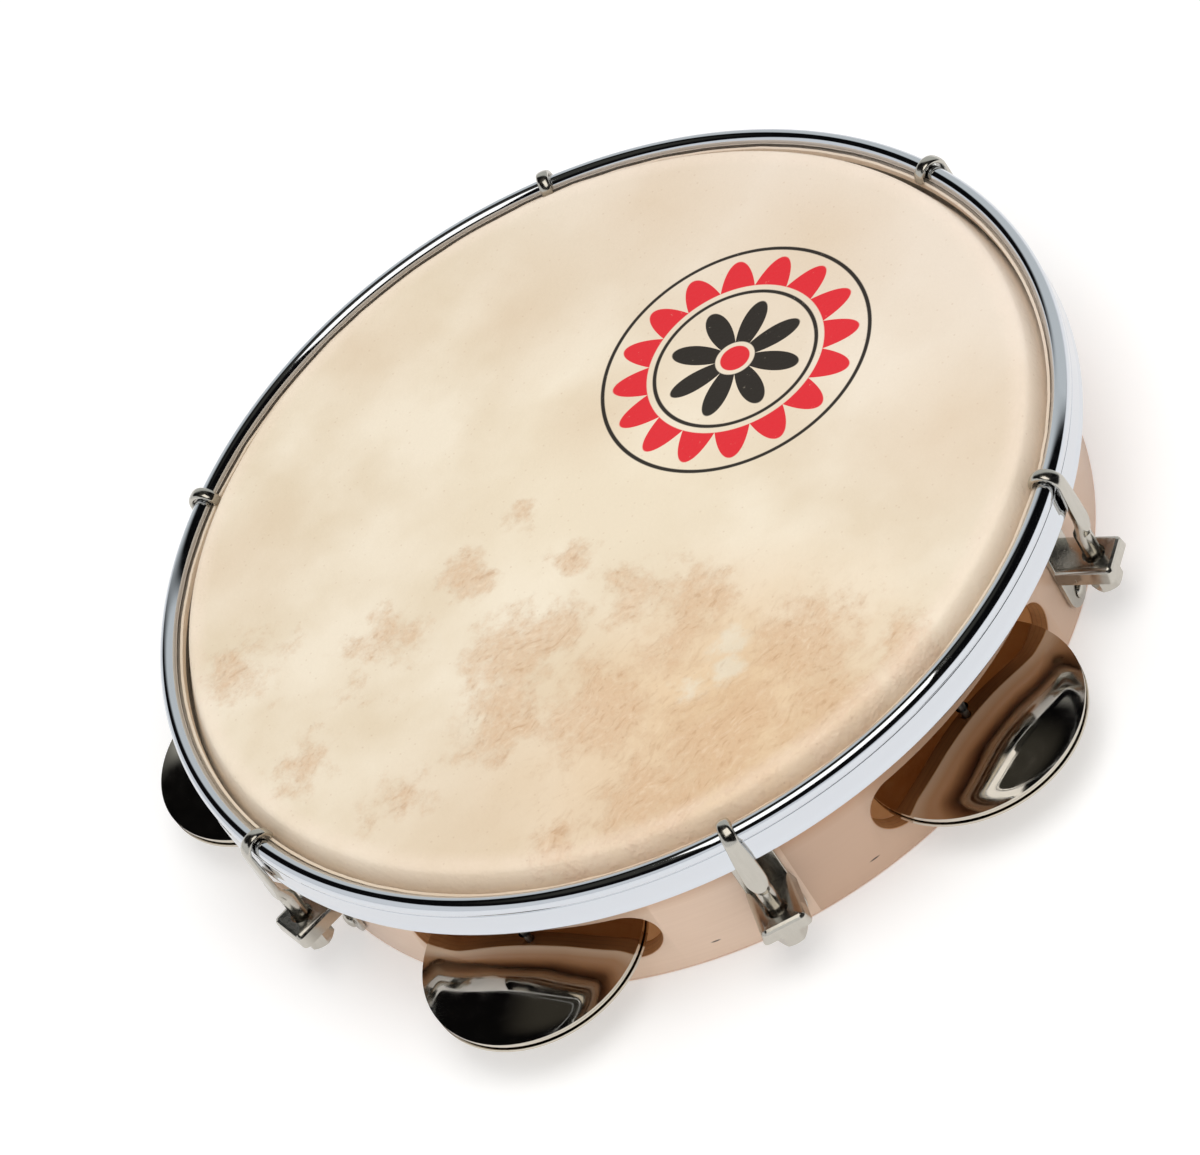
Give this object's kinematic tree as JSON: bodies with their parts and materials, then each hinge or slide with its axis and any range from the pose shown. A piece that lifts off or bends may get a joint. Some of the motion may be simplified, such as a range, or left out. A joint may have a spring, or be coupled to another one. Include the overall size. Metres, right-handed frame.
{
  "type": "pandeiro frame drum",
  "caption": "Shallow round wooden frame drum with a natural skin, a metal hoop pulled down by hooks, and loose pairs of domed jingles on pins in slots through the shell.",
  "frame": {"origin": "on the drum's axis, in the plane of the shell's bottom edge", "axes": "+Z from the shell's bottom edge up to the skin, +X through the hook next to the handhold, +Y towards the far jingles"},
  "size_m": [0.2894, 0.3135, 0.057],
  "materials": {
    "shell_wood": "satin lacquer on laminated light hardwood",
    "goat_skin": "natural goat skin, matt with a soft sheen",
    "steel_wire": "drawn wire",
    "chrome_hoop": "bright chrome plate",
    "nickel_hardware": "nickel plate on steel",
    "jingle_metal": "nickel plated sheet, polished"
  },
  "bodies": {
    "drum": {"shell": "shell_wood", "drum_skin": "goat_skin", "flesh_hoop": "steel_wire", "counterhoop": "chrome_hoop", "bracket_1": "nickel_hardware", "lower_rivet_1": "nickel_hardware", "upper_rivet_1": "nickel_hardware", "bracket_2": "nickel_hardware", "lower_rivet_2": "nickel_hardware", "upper_rivet_2": "nickel_hardware", "bracket_3": "nickel_hardware", "lower_rivet_3": "nickel_hardware", "upper_rivet_3": "nickel_hardware", "bracket_4": "nickel_hardware", "lower_rivet_4": "nickel_hardware", "upper_rivet_4": "nickel_hardware", "bracket_5": "nickel_hardware", "lower_rivet_5": "nickel_hardware", "upper_rivet_5": "nickel_hardware", "bracket_6": "nickel_hardware", "lower_rivet_6": "nickel_hardware", "upper_rivet_6": "nickel_hardware", "jingle_pin_1": "steel_wire", "jingle_pin_2": "steel_wire", "jingle_pin_3": "steel_wire", "jingle_pin_4": "steel_wire", "jingle_pin_5": "steel_wire"},
    "nut_1": {"tension_nut_1": "nickel_hardware"},
    "hook_1": {"tension_hook_1": "nickel_hardware"},
    "nut_2": {"tension_nut_2": "nickel_hardware"},
    "hook_2": {"tension_hook_2": "nickel_hardware"},
    "nut_3": {"tension_nut_3": "nickel_hardware"},
    "hook_3": {"tension_hook_3": "nickel_hardware"},
    "nut_4": {"tension_nut_4": "nickel_hardware"},
    "hook_4": {"tension_hook_4": "nickel_hardware"},
    "nut_5": {"tension_nut_5": "nickel_hardware"},
    "hook_5": {"tension_hook_5": "nickel_hardware"},
    "nut_6": {"tension_nut_6": "nickel_hardware"},
    "hook_6": {"tension_hook_6": "nickel_hardware"},
    "damper_1": {"jingle_damper_1": "jingle_metal"},
    "upper_1": {"upper_jingle_1": "jingle_metal"},
    "lower_1": {"lower_jingle_1": "jingle_metal"},
    "damper_2": {"jingle_damper_2": "jingle_metal"},
    "upper_2": {"upper_jingle_2": "jingle_metal"},
    "lower_2": {"lower_jingle_2": "jingle_metal"},
    "damper_3": {"jingle_damper_3": "jingle_metal"},
    "upper_3": {"upper_jingle_3": "jingle_metal"},
    "lower_3": {"lower_jingle_3": "jingle_metal"},
    "damper_4": {"jingle_damper_4": "jingle_metal"},
    "upper_4": {"upper_jingle_4": "jingle_metal"},
    "lower_4": {"lower_jingle_4": "jingle_metal"},
    "damper_5": {"jingle_damper_5": "jingle_metal"},
    "upper_5": {"upper_jingle_5": "jingle_metal"},
    "lower_5": {"lower_jingle_5": "jingle_metal"}
  },
  "joints": [
    {"name": "nut_turn_1", "type": "hinge", "parent": "drum", "child": "nut_1", "pos_m": [0.13818, -0.00241, 0.0154], "axis": [0, 0, 1], "range_deg": [-2250, 0]},
    {"name": "hook_travel_1", "type": "slide", "parent": "drum", "child": "hook_1", "axis": [0, 0, 1], "range_m": [0, 0.005]},
    {"name": "nut_turn_2", "type": "hinge", "parent": "drum", "child": "nut_2", "pos_m": [0.07828, 0.11389, 0.0154], "axis": [0, 0, 1], "range_deg": [-2250, 0]},
    {"name": "hook_travel_2", "type": "slide", "parent": "drum", "child": "hook_2", "axis": [0, 0, 1], "range_m": [0, 0.005]},
    {"name": "nut_turn_3", "type": "hinge", "parent": "drum", "child": "nut_3", "pos_m": [-0.06381, 0.12258, 0.0154], "axis": [0, 0, 1], "range_deg": [-2250, 0]},
    {"name": "hook_travel_3", "type": "slide", "parent": "drum", "child": "hook_3", "axis": [0, 0, 1], "range_m": [0, 0.005]},
    {"name": "nut_turn_4", "type": "hinge", "parent": "drum", "child": "nut_4", "pos_m": [-0.13818, 0.00241, 0.0154], "axis": [0, 0, 1], "range_deg": [-2250, 0]},
    {"name": "hook_travel_4", "type": "slide", "parent": "drum", "child": "hook_4", "axis": [0, 0, 1], "range_m": [0, 0.005]},
    {"name": "nut_turn_5", "type": "hinge", "parent": "drum", "child": "nut_5", "pos_m": [-0.06166, -0.12368, 0.0154], "axis": [0, 0, 1], "range_deg": [-2250, 0]},
    {"name": "hook_travel_5", "type": "slide", "parent": "drum", "child": "hook_5", "axis": [0, 0, 1], "range_m": [0, 0.005]},
    {"name": "nut_turn_6", "type": "hinge", "parent": "drum", "child": "nut_6", "pos_m": [0.0691, -0.11968, 0.0154], "axis": [0, 0, 1], "range_deg": [-2250, 0]},
    {"name": "hook_travel_6", "type": "slide", "parent": "drum", "child": "hook_6", "axis": [0, 0, 1], "range_m": [0, 0.005]},
    {"name": "jingle_lift_1", "type": "slide", "parent": "drum", "child": "damper_1", "axis": [0, 0, 1], "range_m": [0, 0.003]},
    {"name": "upper_spin_1", "type": "hinge", "parent": "damper_1", "child": "upper_1", "pos_m": [0.11071, 0.05641, 0.0205], "axis": [0, 0, 1], "continuous": true},
    {"name": "lower_spin_1", "type": "hinge", "parent": "damper_1", "child": "lower_1", "pos_m": [0.11071, 0.05641, 0.0122], "axis": [0, 0, 1], "continuous": true},
    {"name": "jingle_lift_2", "type": "slide", "parent": "drum", "child": "damper_2", "axis": [0, 0, 1], "range_m": [0, 0.003]},
    {"name": "upper_spin_2", "type": "hinge", "parent": "damper_2", "child": "upper_2", "pos_m": [0.00758, 0.12402, 0.0205], "axis": [0, 0, 1], "continuous": true},
    {"name": "lower_spin_2", "type": "hinge", "parent": "damper_2", "child": "lower_2", "pos_m": [0.00758, 0.12402, 0.0122], "axis": [0, 0, 1], "continuous": true},
    {"name": "jingle_lift_3", "type": "slide", "parent": "drum", "child": "damper_3", "axis": [0, 0, 1], "range_m": [0, 0.003]},
    {"name": "upper_spin_3", "type": "hinge", "parent": "damper_3", "child": "upper_3", "pos_m": [-0.10537, 0.06584, 0.0205], "axis": [0, 0, 1], "continuous": true},
    {"name": "lower_spin_3", "type": "hinge", "parent": "damper_3", "child": "lower_3", "pos_m": [-0.10537, 0.06584, 0.0122], "axis": [0, 0, 1], "continuous": true},
    {"name": "jingle_lift_4", "type": "slide", "parent": "drum", "child": "damper_4", "axis": [0, 0, 1], "range_m": [0, 0.003]},
    {"name": "upper_spin_4", "type": "hinge", "parent": "damper_4", "child": "upper_4", "pos_m": [-0.10605, -0.06474, 0.0205], "axis": [0, 0, 1], "continuous": true},
    {"name": "lower_spin_4", "type": "hinge", "parent": "damper_4", "child": "lower_4", "pos_m": [-0.10605, -0.06474, 0.0122], "axis": [0, 0, 1], "continuous": true},
    {"name": "jingle_lift_5", "type": "slide", "parent": "drum", "child": "damper_5", "axis": [0, 0, 1], "range_m": [0, 0.003]},
    {"name": "upper_spin_5", "type": "hinge", "parent": "damper_5", "child": "upper_5", "pos_m": [0.01213, -0.12366, 0.0205], "axis": [0, 0, 1], "continuous": true},
    {"name": "lower_spin_5", "type": "hinge", "parent": "damper_5", "child": "lower_5", "pos_m": [0.01213, -0.12366, 0.0122], "axis": [0, 0, 1], "continuous": true}
  ],
  "couplings": [
    {"joint": "nut_turn_1", "follows": "hook_travel_1", "rad_per_m": -7853.9},
    {"joint": "nut_turn_2", "follows": "hook_travel_2", "rad_per_m": -7853.9},
    {"joint": "nut_turn_3", "follows": "hook_travel_3", "rad_per_m": -7853.9},
    {"joint": "nut_turn_4", "follows": "hook_travel_4", "rad_per_m": -7853.9},
    {"joint": "nut_turn_5", "follows": "hook_travel_5", "rad_per_m": -7853.9},
    {"joint": "nut_turn_6", "follows": "hook_travel_6", "rad_per_m": -7853.9}
  ]
}
